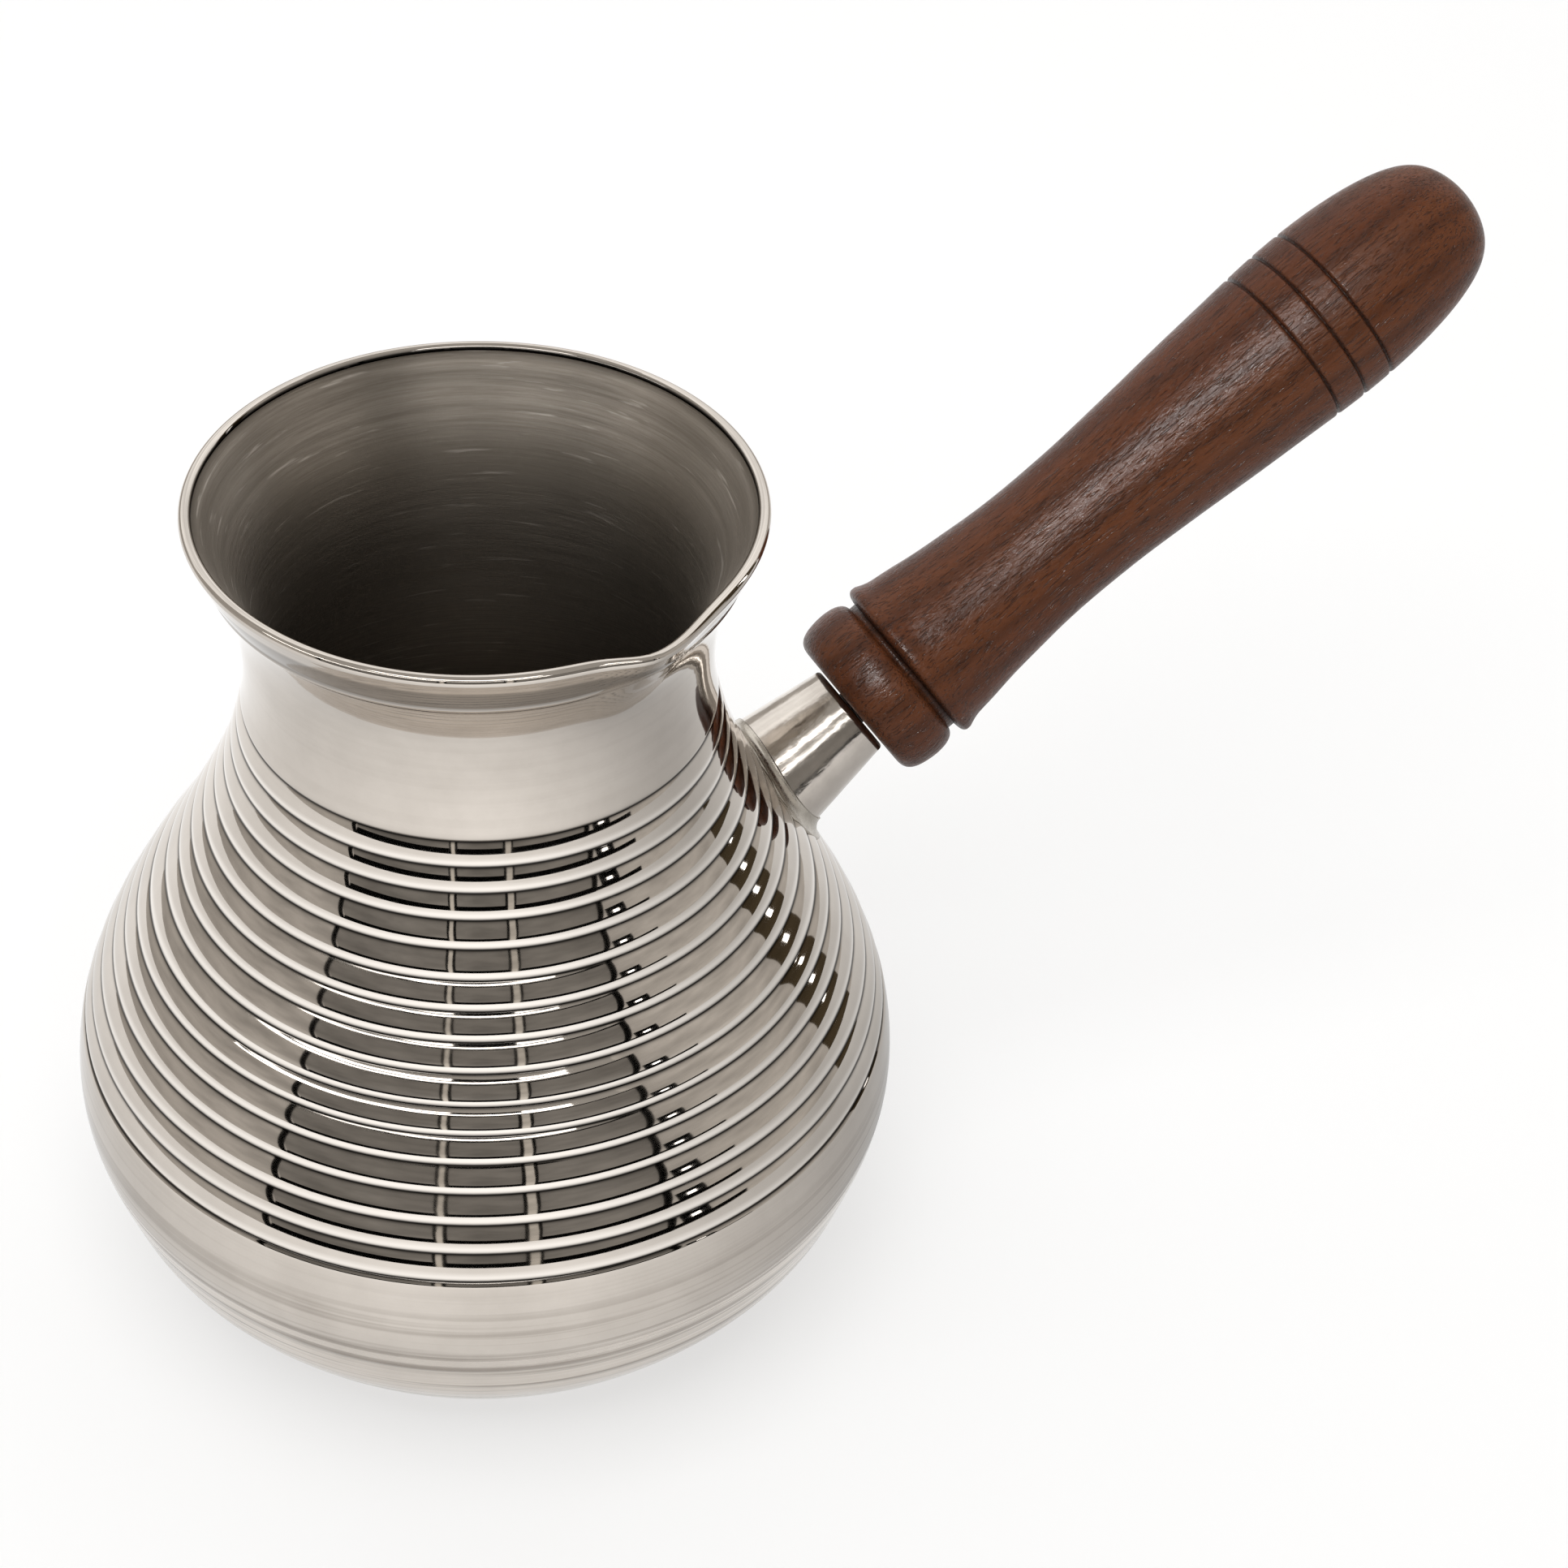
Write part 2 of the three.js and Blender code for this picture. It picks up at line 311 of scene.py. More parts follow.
def set_attribute(piece, name, values):
    """Stores one number for each vertex."""
    attribute = piece.data.attributes.new(name, "FLOAT", "POINT")
    attribute.data.foreach_set("value", values.astype(np.float32))


# ---- the pot ---------------------------------------------

def wall_curve(pot):
    """The smooth outer wall as (height, radius) in metres, scaled to the frame's height and belly."""
    scale = (pot.height / DRAWN_HEIGHT, pot.belly_radius / DRAWN_BELLY)
    return smooth_curve(WALL_OUTLINE * scale, 0.2 * MM, 1.3 * MM)


def along_wall(wall, height):
    """Distances along the wall at the given heights."""
    return np.interp(height, np.maximum.accumulate(wall[:, 0]), arc_length(wall))


def wall_radius(wall, height):
    """Radii of the wall at the given heights."""
    return np.interp(height, np.maximum.accumulate(wall[:, 0]), wall[:, 1])


def groove_places(pot, wall):
    """Distances of the grooves along the wall."""
    return along_wall(wall, GROOVE_HEIGHTS * pot.height / DRAWN_HEIGHT)


def rib_offset(pot, wall, at):
    """How far the ribs stand in from the smooth wall at distances along it, as a negative number.

    A rib is two parabolas that meet at its crest, which is nearer its lower groove. With x from 1 at a
    groove to 0 at the crest each is -d x x. The slope of the upper one beside its groove is the rib's
    tilt, so d is half the upper part times the tilt's tangent. The sharp bottom of each groove is rounded
    by putting the root of (distance squared + round squared) in place of the distance to it. The tilt
    grows by up to 2.5 degrees in a bell around the middle of the ribs. The smooth wall just outside the
    first and the last groove falls off into it over the brim.
    """
    middle_height, middle_width, middle_tilt = 72 * MM, 9 * MM, math.radians(2.5)
    brim_width = 0.8 * MM
    grooves = groove_places(pot, wall)
    pitch = np.interp(at, (grooves[:-1] + grooves[1:]) / 2, np.diff(grooves))
    nearest = grooves[np.argmin(np.abs(at[:, None] - grooves[None, :]), axis=1)]
    index = gap_index(grooves, at)
    low, high = grooves[index], grooves[index + 1]
    crest = low + (high - low) * pot.rib_crest
    part = np.where(at < crest, crest - low, high - crest)
    away = np.hypot(np.where(at < crest, at - low, high - at), pot.groove_round)
    tilt = pot.rib_tilt + middle_tilt * bell(at - along_wall(wall, middle_height), middle_width)
    depth = (1 - pot.rib_crest) * pitch / 2 * np.tan(tilt)
    ribs = -depth * np.clip(1 - away / part, 0, None) ** 2
    outside = (at < grooves[0]) | (at > grooves[-1])
    brim = depth * np.clip(1 - np.hypot(at - nearest, pot.groove_round) / brim_width, 0, None) ** 2
    return np.where(outside, -brim, ribs)


def groove_share(pot, wall, at):
    """1 in the bottom of a groove and 0 beside it, in a bell: where the groove is painted dark, a painted
    shade.
    """
    grooves = groove_places(pot, wall)
    return np.max(bell(at[:, None] - grooves[None, :], 0.25 * MM), axis=1)


def crest_share(pot, wall, at):
    """1 low on a rib and less to both sides, in a bell: where the rib is painted lighter, a painted
    highlight.
    """
    grooves = groove_places(pot, wall)
    index = gap_index(grooves, at)
    share = (at - grooves[index]) / (grooves[index + 1] - grooves[index])
    on_ribs = (at > grooves[0]) & (at < grooves[-1])
    return bell(share - 0.17, 0.13) * on_ribs


def spout_shape(pot, turn):
    """How much of the pouring lip there is in each direction: a bell, narrower on one side."""
    off = np.arctan2(np.sin(turn - pot.spout_turn), np.cos(turn - pot.spout_turn))
    width = np.where(off < 0, math.radians(7.5), math.radians(12.5))
    return bell(off, width)


def pot_profile(pot):
    """The pot's section as (height, radius), from the base's middle up the outside and down the inside.

    Returns the points, a material slot for each step, and for each point its share of painted shade and its
    share of painted highlight.
    """
    wall = wall_curve(pot)
    along = arc_length(wall)
    below_ribs, above_ribs, flare, brink = along_wall(
        wall, np.array([37.9, 92.0, 111.5, 117.2]) * pot.height / DRAWN_HEIGHT)
    grooves = groove_places(pot, wall)
    beside = np.array([0.0, 0.06, 0.12, 0.2, 0.32, 0.5, 0.75]) * MM
    in_grooves = (grooves[:, None] + np.concatenate([-beside[:0:-1], beside])[None, :]).ravel()
    middle = np.linspace(-0.5, 0.5, 5)[None, :] * (np.diff(grooves)[:, None] - 2.1 * MM)
    on_crowns = ((grooves[:-1] + grooves[1:])[:, None] / 2 + middle).ravel()
    at = np.unique(np.concatenate([
        in_grooves, on_crowns, steps((0, below_ribs, 1.3 * MM)),
        steps((above_ribs, flare, 1.0 * MM), (flare, brink, 0.3 * MM), (brink, along[-1], 0.4 * MM))]))
    outside = read_curve(wall, at) + read_curve(wall, at, outward(wall)) * rib_offset(pot, wall, at)[:, None]

    half = pot.lip / 2
    turn = np.radians(np.linspace(-22, 178, 15))
    overhang, thinning = 0.2 * MM, 12 * MM
    rim = wall[-1, 1] + overhang - half
    lip = np.stack([pot.height - half + half * np.sin(turn), rim + half * np.cos(turn)], axis=1)

    share = np.clip((pot.height - wall[:, 0]) / thinning, 0, 1)
    thick = pot.lip + (pot.wall - pot.lip) * share * share * (3 - 2 * share)
    inner = (wall - outward(wall) * thick[:, None])[::-1]
    inner = inner[(inner[:, 0] < pot.height - 1.6 * MM) & (inner[:, 0] > pot.floor + 2.6 * MM)]
    corner = np.array([(pot.floor + 0.75 * MM, 37.4 * MM), (pot.floor, 33.5 * MM)])
    inner = np.vstack([lip[-1] - (0.4 * MM, 0), inner[::12], corner])
    inner = smooth_curve(inner, 0.25 * MM, 0.6 * MM)
    inner = read_curve(inner, steps((0, 5 * MM, 1.0 * MM), (5 * MM, 12 * MM, 0.35 * MM),
                                    (12 * MM, arc_length(inner)[-1], 1.7 * MM)))
    base = np.stack([np.zeros(5), np.linspace(4, 32, 5) * MM], axis=1)
    floor_radius = np.linspace(31, 2, 12)[:, None] * MM
    floor = np.hstack([np.full((12, 1), pot.floor), floor_radius])
    section = np.vstack([base, outside, lip, inner, floor])
    slots = np.zeros(len(section) - 1, int)
    lip_end = len(base) + len(outside) + len(lip)
    slots[lip_end - 1:] = 1
    shares = np.zeros((2, len(section)))
    on_wall = slice(len(base), len(base) + len(outside))
    shares[0, on_wall] = groove_share(pot, wall, at)
    # Painted shade: a dark line along the lip's inner edge.
    shares[0, lip_end - 4:lip_end] = (0.3, 0.9, 1.0, 1.0)
    shares[1, on_wall] = crest_share(pot, wall, at)
    return section, slots, shares


def build_pot(pot):
    """Turns the section about Z, then pulls the lip out by the spout's bell times its depth squared.

    The fold line under the lip is a low ridge that climbs where the spout is, and a dent inside. Between
    the fold and the lip the outside is painted a little darker, a painted shade.
    """
    section, slots, shares = pot_profile(pot)
    turn = turns_around(pot.around)
    height = np.broadcast_to(section[None, :, 0], (pot.around, len(section)))
    radius = np.broadcast_to(section[None, :, 1], height.shape)
    beak = spout_shape(pot, turn)
    depth = np.clip(1 - (pot.height - height) / pot.spout_drop, 0, None)
    outer = np.arange(len(section))[None, :] < np.argmax(section[:, 0])
    fold = 113.4 * MM + 2.2 * MM * beak
    fold_width, ridge_height, dent_depth = 0.45 * MM, 0.22 * MM, 0.04 * MM
    ridge = ridge_height * bell(height - fold, fold_width) * outer
    ridge = ridge + dent_depth * bell(height - fold + 2 * fold_width, fold_width) * ~outer
    radius = radius + pot.spout_reach * beak * depth**2 + ridge
    grid = np.stack([radius * np.cos(turn), radius * np.sin(turn), height], axis=-1)
    piece = closed_surface("pot_shell", grid, first_pole=(0, 0, 0), last_pole=(0, 0, pot.floor),
                           slots=slots)
    # Painted shade: the outside between the fold and the lip is darkened by half.
    above_fold = np.clip((height - fold) / (0.5 * MM), 0, 1)
    below_lip = np.clip((117.4 * MM - height) / (0.3 * MM), 0, 1)
    shade_share = shares[0] + 0.5 * above_fold * below_lip * outer
    # The first share is painted shade, the second painted highlight.
    for name, share in (("painted_shade", shade_share), ("buffed_and_painted_highlight", shares[1] + height * 0)):
        set_attribute(piece, name, np.concatenate([share.ravel(), [0.0, 0.0]]))
    return piece


# ---- the handle ------------------------------------------

def handle_frame(handle):
    """The handle's axis and the two directions across it, right-handed: up, side, axis."""
    rise = handle.rise
    axis = np.array([math.cos(rise), 0.0, math.sin(rise)])
    up = np.array([-math.sin(rise), 0.0, math.cos(rise)])
    return up, np.cross(axis, up), axis


def on_handle(handle, turn, distance, radius):
    """Points at an angle around the handle's axis, a distance along it and a radius from it."""
    up, side, axis = handle_frame(handle)
    across = np.cos(turn)[..., None] * up + np.sin(turn)[..., None] * side
    root = np.array([0.0, 0.0, handle.root_height])
    return root + distance[..., None] * axis + radius[..., None] * across


def socket_radius(handle, distance):
    """The socket narrows evenly away from the pot."""
    return handle.socket_radius - handle.socket_taper * (distance - handle.socket_reference)


def meet_wall(handle, pot, turn, low, high, radius, sink=0.0):
    """Where lines along the handle come out of the pot's wall, sunk by a depth, by halving 40 times.

    The radius is a function of the distance along the handle.
    """
    wall = wall_curve(pot)
    for _ in range(40):
        middle = (low + high) / 2
        point = on_handle(handle, turn + middle * 0, middle, radius(middle))
        beyond = np.hypot(point[..., 0], point[..., 1]) > wall_radius(wall, point[..., 2]) - sink
        high = np.where(beyond, middle, high)
        low = np.where(beyond, low, middle)
    return high


def foot_distance(handle, pot, turn, sink):
    """Where each line along the socket meets the pot's wall."""
    nearest, furthest = 38 * MM, 63 * MM
    return meet_wall(handle, pot, turn, np.full(turn.shape, nearest), np.full(turn.shape, furthest),
                     lambda distance: socket_radius(handle, distance), sink)


def build_socket(handle, pot):
    """A tapered tube whose foot follows the pot: outside up, over the rounded rim, inside back down."""
    turn = turns_around(handle.around)
    foot = foot_distance(handle, pot, turn, 0.5 * MM)
    end = handle.socket_end
    share = np.linspace(0, 1, 30)[None, :]
    rim = np.linspace(0, math.pi, 7)[None, :]
    half = handle.socket_wall / 2
    outside = foot + (end - half - foot) * share
    over = end - half + half * np.sin(rim) + turn * 0
    inside = outside[:, ::-1]
    distance = np.hstack([outside, over, inside])
    drop = np.hstack([outside * 0, half - half * np.cos(rim) + turn * 0, inside * 0 + 2 * half])
    grid = on_handle(handle, turn + distance * 0, distance, socket_radius(handle, distance) - drop)
    return closed_surface("socket_tube", grid, close_along=True)


def build_fillet(handle, pot):
    """A hollow quarter round swept along the line where the socket meets the pot, closed underneath.

    From the pot's wall to the socket the distance along the wall is the reach times 1 - sin, and the
    climb on the socket is the height times 1 - cos, over a quarter turn. Every point is then pushed out
    to the pot's wall where it would lie below it.
    """
    turn = turns_around(handle.around)
    foot = foot_distance(handle, pot, turn, 0.0)
    quarter = np.linspace(0, math.pi / 2, 12)[None, :]
    spread = handle.fillet_reach * (1 - np.sin(quarter))
    climb = handle.fillet_height * (1 - np.cos(quarter))
    clearance, search = 0.05 * MM, 8 * MM

    def laid(spread, climb, lift):
        distance = foot + climb
        radius = socket_radius(handle, distance) + spread + clearance
        met = meet_wall(handle, pot, turn, distance - search, distance + search, lambda _: radius)
        fixed = np.where(spread > 0, met, distance)
        return on_handle(handle, turn + fixed * 0, fixed + lift, radius)

    top = laid(spread + turn * 0, climb * 0 + turn * 0, climb)
    under = laid(spread[:, ::-1] + turn * 0, climb * 0 + turn * 0, -0.5 * MM)
    return closed_surface("braze_fillet", np.concatenate([top, under], axis=1), close_along=True)


def grip_section(handle):
    """Distance and radius from the bottom of the bore, out over the face, bead and body to the end."""
    bead = smooth_curve(BEAD_OUTLINE * MM, 0.05 * MM, 0.12 * MM)
    bead[0] = BEAD_OUTLINE[0] * MM
    body = smooth_curve(GRIP_OUTLINE * MM, 0.05 * MM, 0.12 * MM)
    body = body[body[:, 1] > 0.4 * MM]
    body_at = steps((0, 2.2 * MM, 0.1 * MM), (2.2 * MM, 64 * MM, 0.6 * MM), (64 * MM, 79 * MM, 0.12 * MM),
                    (79 * MM, arc_length(body)[-1], 0.5 * MM))
    bead = read_curve(bead, steps((0, arc_length(bead)[-1], 0.2 * MM)))
    body = read_curve(body, body_at)
    scored = sum(bell(body[:, 0] - ring * MM, 0.24 * MM) for ring in SCORED_RINGS)
    body[:, 1] -= handle.ring_depth * scored
    bore = np.array([(handle.bore_end - 2.2 * MM, handle.bore), (70 * MM, handle.bore),
                     (65.5 * MM, handle.bore), (65.5 * MM, 5.5 * MM)])
    section = np.vstack([bore, bead, body])
    # The rings are dark burnt lines whose dark is partly painted shade in their hollows; the bells at 74.3
    # and 74.6 mm are painted shade in the gap between bead and body.
    burn_and_crevice_shade = np.concatenate([np.zeros(len(bore)), 0.6 * bell(bead[:, 0] - 74.3 * MM, 0.5 * MM), scored
                              + bell(body[:, 0] - 74.6 * MM, 0.45 * MM)])
    return section, burn_and_crevice_shade


def build_grip(handle):
    """Turns the grip's section about the handle's axis, with a pole in the bore and one at the end."""
    section, burn_and_crevice_shade = grip_section(handle)
    turn = turns_around(handle.around)
    distance = section[None, :, 0] + turn * 0
    radius = section[None, :, 1] + turn * 0
    grid = on_handle(handle, turn + distance * 0, distance, radius)
    axis = handle_frame(handle)[2]
    root = np.array([0.0, 0.0, handle.root_height])
    piece = closed_surface("grip_wood", grid, first_pole=root + axis * handle.bore_end,
                           last_pole=root + axis * GRIP_OUTLINE[-1, 0] * MM)
    set_attribute(piece, "burn_and_crevice_shade", np.concatenate([np.tile(burn_and_crevice_shade, handle.around), [0.0, 0.0]]))
    return piece


# ---- materials -------------------------------------------

def linear(hex_code):
    """An sRGB hex colour as linear red, green, blue and full opacity."""
    parts = np.array([int(hex_code[i:i + 2], 16) / 255 for i in (1, 3, 5)])
    parts = np.where(parts <= 0.04045, parts / 12.92, ((parts + 0.055) / 1.055) ** 2.4)
    return (*parts.tolist(), 1.0)


def add(material, kind, inputs=None, **settings):
    """Adds a node, sets its options and its inputs' values, and links the inputs that name a socket.

    A node given as a value stands for its first output in use, and a hex colour for its linear colour.
    """
    node = material.node_tree.nodes.new("ShaderNode" + kind)
    for key, value in settings.items():
        setattr(node, key, value)
    for key, value in (inputs or {}).items():
        if isinstance(value, str):
            value = linear(value)
        if isinstance(value, bpy.types.Node):
            value = next(output for output in value.outputs if output.enabled)
        if isinstance(value, bpy.types.NodeSocket):
            material.node_tree.links.new(value, node.inputs[key])
        else:
            node.inputs[key].default_value = value
    return node


def new_material(name):
    """An empty node material with its output node."""
    material = bpy.data.materials.new(name)
    material.use_nodes = True
    material.node_tree.nodes.clear()
    return material


def polished_nickel(finishes):
    """Bright nickel plate on spun brass, polished on the buffing wheel: a mirror with a warm tint.

    The eye gets sharp reflections, a faint cloud of wiping marks, and low on the belly the fine lines
    that the spinning left, which the buff didn't reach. The lines are about 0.3 mm apart and are drawn
    at 0.7 mm so that they show. The ribs' lower parts are painted lighter, a painted highlight, and the
    grooves, the band under the lip and the lip's inner edge are painted darker, a painted shade.
    """
    m = new_material("nickel plate, buffed")
    place = add(m, "TexCoord").outputs["Object"]
    height = add(m, "SeparateXYZ", {"Vector": place}).outputs["Z"]
    rings = add(m, "Mapping", {"Vector": place, "Scale": (0.012, 0.012, 1.0)})
    line_pitch, band_pitch = 0.7 * MM, 1.4 * MM
    lines = add(m, "TexNoise", {"Vector": rings, "Scale": 1 / line_pitch, "Detail": 3.0, "Roughness": 0.6})
    bands = add(m, "TexNoise", {"Vector": rings, "Scale": 1 / band_pitch, "Detail": 2.0, "Roughness": 0.6})
    low = add(m, "MapRange", {0: height, 1: 38 * MM, 2: 22 * MM, 3: 0.05, 4: 1.0})
    cloud_size = 18 * MM
    cloud = add(m, "TexNoise", {"Vector": place, "Scale": 1 / cloud_size, "Detail": 6.0, "Roughness": 0.62})
    rough_lines = add(m, "Math", {0: lines, 1: low}, operation="MULTIPLY")
    rough = add(m, "MapRange", {0: cloud, 1: 0.35, 2: 0.7, 3: 0.03, 4: 0.06})
    rough_all = add(m, "Math", {0: rough_lines, 1: 0.16, 2: rough}, operation="MULTIPLY_ADD")
    wavy = add(m, "Math", {0: bands, 1: 5.0, 2: lines}, operation="MULTIPLY_ADD")
    wavy_low = add(m, "Math", {0: wavy, 1: low}, operation="MULTIPLY")
    bump = add(m, "Bump", {"Height": wavy_low, "Strength": 0.6, "Distance": 0.04 * MM})
    stain = add(m, "MapRange", {0: cloud, 1: 0.35, 2: 0.7, 3: 0.0, 4: 0.2})
    band_stain = add(m, "MapRange", {0: bands, 1: 0.48, 2: 0.62, 3: 0.0, 4: 0.6})
    low_stain = add(m, "Math", {0: band_stain, 1: low, 2: stain}, operation="MULTIPLY_ADD")
    tint = add(m, "Mix", {0: low_stain, 6: finishes.nickel, 7: finishes.tarnish}, data_type="RGBA")
    # Painted highlight: the ribs' lower parts are mixed towards the bright nickel colour.
    buffed_and_painted_highlight = add(m, "Attribute", attribute_name="buffed_and_painted_highlight")
    bright = add(m, "Mix", {0: buffed_and_painted_highlight.outputs["Fac"], 6: tint, 7: finishes.nickel_highlight}, data_type="RGBA")
    # Painted shade: the grooves, the band under the lip and the lip's inner edge are mixed towards the
    # groove colour.
    painted_shade = add(m, "Attribute", attribute_name="painted_shade")
    grooved = add(m, "Mix", {0: painted_shade.outputs["Fac"], 6: bright, 7: finishes.groove}, data_type="RGBA")
    shader = add(m, "BsdfPrincipled", {
        "Base Color": grooved, "Metallic": 1.0, "Roughness": rough_all, "Normal": bump})
    add(m, "OutputMaterial", {"Surface": shader})
    return m


def brushed_nickel(finishes):
    """Nickel plate over spun brass that was only brushed inside: satin, with rings of brush lines.

    The brush ran around the pot, so the sheen stretches up and down the wall, and the deep part is
    darker and browner in cloudy patches, more so towards the bottom. The brush lines are 0.15 mm apart
    and are drawn at 0.35 mm; short lighter marks 0.5 mm wide, drawn at 0.7 mm, are spoon scratches
    whose brightness is a painted highlight.
    """
    m = new_material("nickel plate, brushed")
    place = add(m, "TexCoord").outputs["Object"]
    height = add(m, "SeparateXYZ", {"Vector": place}).outputs["Z"]
    rings = add(m, "Mapping", {"Vector": place, "Scale": (0.03, 0.03, 1.0)})
    line_pitch, mark_width = 0.35 * MM, 0.7 * MM
    lines = add(m, "TexNoise", {"Vector": rings, "Scale": 1 / line_pitch, "Detail": 4.0, "Roughness": 0.7})
    cloud_size = 14 * MM
    cloud = add(m, "TexNoise", {"Vector": place, "Scale": 1 / cloud_size, "Detail": 5.0})
    rough = add(m, "MapRange", {0: lines, 1: 0.3, 2: 0.7, 3: 0.36, 4: 0.5})
    bump = add(m, "Bump", {"Height": lines, "Strength": 0.6, "Distance": 0.04 * MM})
    # Darker and browner in cloudy patches, more so towards the bottom.
    deep = add(m, "MapRange", {0: height, 1: 85 * MM, 2: 5 * MM, 3: 0.0, 4: 0.4})
    patch = add(m, "Math", {0: deep, 1: cloud}, operation="MULTIPLY")
    brushed = add(m, "MapRange", {0: lines, 1: 0.38, 2: 0.62, 3: 0.0, 4: 0.3})
    dulled = add(m, "Math", {0: brushed, 1: patch}, operation="ADD")
    tint = add(m, "Mix", {0: dulled, 6: finishes.nickel_inside, 7: finishes.tarnish}, data_type="RGBA")
    # Painted highlight: short spoon scratches drawn lighter, in the bright nickel colour.
    short = add(m, "Mapping", {"Vector": place, "Scale": (0.07, 0.07, 1.0)})
    marks = add(m, "TexNoise", {"Vector": short, "Scale": 1 / mark_width, "Detail": 3.0})
    mark = add(m, "MapRange", {0: marks, 1: 0.64, 2: 0.72, 3: 0.0, 4: 0.45})
    marked = add(m, "Mix", {0: mark, 6: tint, 7: finishes.nickel_highlight}, data_type="RGBA")
    around = add(m, "Tangent", direction_type="RADIAL", axis="Z")
    shader = add(m, "BsdfPrincipled", {
        "Base Color": marked, "Metallic": 1.0, "Roughness": rough, "Anisotropic": 0.7,
        "Anisotropic Rotation": 0.25, "Tangent": around, "Normal": bump})
    add(m, "OutputMaterial", {"Surface": shader})
    return m


def drawn_nickel(finishes, handle):
    """Nickel plate on a drawn and polished brass tube: a mirror with faint draw lines along it.

    The lines are 0.2 mm apart and are drawn at 0.45 mm.
    """
    m = new_material("nickel plate, drawn tube")
    place = add(m, "TexCoord").outputs["Object"]
    along = add(m, "Mapping", {
        "Vector": place, "Location": (0, 0, handle.root_height), "Rotation": (0, -handle.rise, 0),
        "Scale": (30.0, 1.0, 1.0)}, vector_type="TEXTURE")
    line_pitch = 0.45 * MM
    lines = add(m, "TexNoise", {"Vector": along, "Scale": 1 / line_pitch, "Detail": 3.0})
    rough = add(m, "MapRange", {0: lines, 1: 0.3, 2: 0.7, 3: 0.1, 4: 0.22})
    cloud = add(m, "TexNoise", {"Vector": place, "Scale": 1 / (6 * MM), "Detail": 5.0})
    uneven = add(m, "Math", {0: cloud, 1: 12.0, 2: lines}, operation="MULTIPLY_ADD")
    bump = add(m, "Bump", {"Height": uneven, "Strength": 0.4, "Distance": 0.03 * MM})
    stain = add(m, "MapRange", {0: cloud, 1: 0.4, 2: 0.75, 3: 0.0, 4: 0.25})
    tint = add(m, "Mix", {0: stain, 6: finishes.nickel, 7: finishes.tarnish}, data_type="RGBA")
    shader = add(m, "BsdfPrincipled", {
        "Base Color": tint, "Metallic": 1.0, "Roughness": rough, "Normal": bump})
    add(m, "OutputMaterial", {"Surface": shader})
    return m


def dressed_solder(finishes):
    """Silver brazing alloy, filed and buffed by hand: satin, slightly lumpy, duller than the plate.

    The file marks are about 0.4 mm wide and the lumps 1.5 mm.
    """
    m = new_material("silver solder, dressed")
    place = add(m, "TexCoord").outputs["Object"]
    lumps = add(m, "TexNoise", {"Vector": place, "Scale": 1 / (1.5 * MM), "Detail": 3.0})
    marks = add(m, "TexNoise", {"Vector": place, "Scale": 1 / (0.4 * MM), "Detail": 2.0})
    rough = add(m, "MapRange", {0: marks, 1: 0.3, 2: 0.7, 3: 0.2, 4: 0.36})
    bump = add(m, "Bump", {"Height": lumps, "Strength": 0.25, "Distance": 0.05 * MM})
    stain = add(m, "MapRange", {0: lumps, 1: 0.35, 2: 0.7, 3: 0.0, 4: 0.3})
    tint = add(m, "Mix", {0: stain, 6: finishes.solder, 7: finishes.tarnish}, data_type="RGBA")
    shader = add(m, "BsdfPrincipled", {
        "Base Color": tint, "Metallic": 1.0, "Roughness": rough, "Normal": bump})
    add(m, "OutputMaterial", {"Surface": shader})
    return m


def machined_steel(finishes, handle, name, pitch):
    """Bright mild steel off the lathe: rings of tool marks around the handle's axis, lightly oiled."""
    m = new_material(name)
    place = add(m, "TexCoord").outputs["Object"]
    along = add(m, "Mapping", {
        "Vector": place, "Location": (0, 0, handle.root_height), "Rotation": (0, -handle.rise, 0)},
        vector_type="TEXTURE")
    rings = add(m, "TexWave", {
        "Vector": along, "Scale": 0.31 / pitch, "Distortion": 0.2, "Detail": 1.0}, wave_type="BANDS",
        bands_direction="X")
    oil = add(m, "TexNoise", {"Vector": place, "Scale": 1 / (4 * MM), "Detail": 5.0})
    rough = add(m, "MapRange", {0: oil, 1: 0.3, 2: 0.7, 3: 0.24, 4: 0.42})
    bump = add(m, "Bump", {"Height": rings.outputs[1], "Strength": 0.6, "Distance": pitch * 0.4})
    stain = add(m, "MapRange", {0: oil, 1: 0.35, 2: 0.7, 3: 0.0, 4: 0.45})
    tint = add(m, "Mix", {0: stain, 6: finishes.steel, 7: finishes.tarnish}, data_type="RGBA")
    shader = add(m, "BsdfPrincipled", {
        "Base Color": tint, "Metallic": 1.0, "Roughness": rough, "Normal": bump})
    add(m, "OutputMaterial", {"Surface": shader})
    return m


